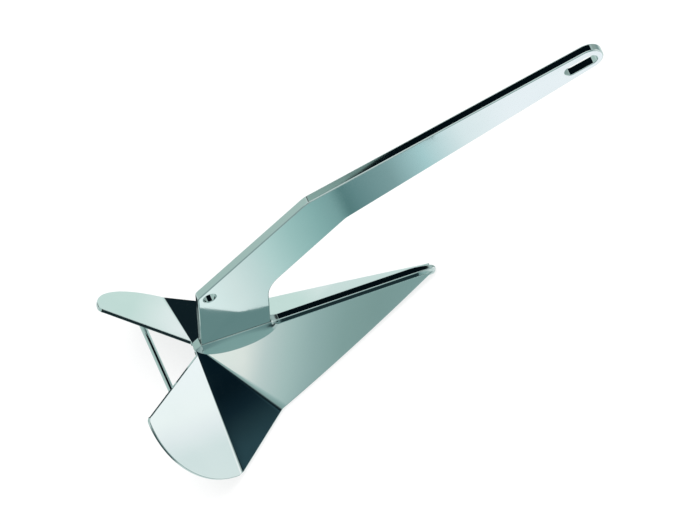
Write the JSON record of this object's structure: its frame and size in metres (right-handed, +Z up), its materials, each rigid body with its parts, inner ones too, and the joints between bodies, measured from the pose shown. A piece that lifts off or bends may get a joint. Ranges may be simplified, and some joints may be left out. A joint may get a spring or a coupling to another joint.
{
  "type": "boat anchor",
  "caption": "Fixed-shank plough anchor in polished stainless steel: cranked plate shank welded on the ridge of a folded winged fluke with a rear tie bar.",
  "frame": {"origin": "on the floor, centred under the anchor's box, as it stands on its nose and the two lower wing corners", "axes": "+X forward, the way the nose points; +Y to port; +Z up"},
  "size_m": [0.9682, 0.3982, 0.4143],
  "materials": {
    "mirror_stainless": "polished",
    "dressed_weld": "gloss",
    "satin_stainless": "satin",
    "ballast_casting": "matte"
  },
  "bodies": {
    "root": {"shank": "mirror_stainless", "ridge_bar": "mirror_stainless", "fluke_wing_port": "mirror_stainless", "fluke_wing_starboard": "mirror_stainless", "tie_bar": "mirror_stainless", "shank_weld_front": "dressed_weld", "shank_weld_rear": "dressed_weld", "shank_weld_port": "dressed_weld", "shank_weld_starboard": "dressed_weld", "ridge_weld_port": "dressed_weld", "ridge_weld_starboard": "dressed_weld", "tie_bar_weld_port": "dressed_weld", "tie_bar_weld_starboard": "dressed_weld", "cover_weld_port": "dressed_weld", "cover_weld_starboard": "dressed_weld", "ballast_cover": "satin_stainless", "ballast_end_plate": "satin_stainless", "nose_ballast": "ballast_casting"}
  },
  "joints": []
}
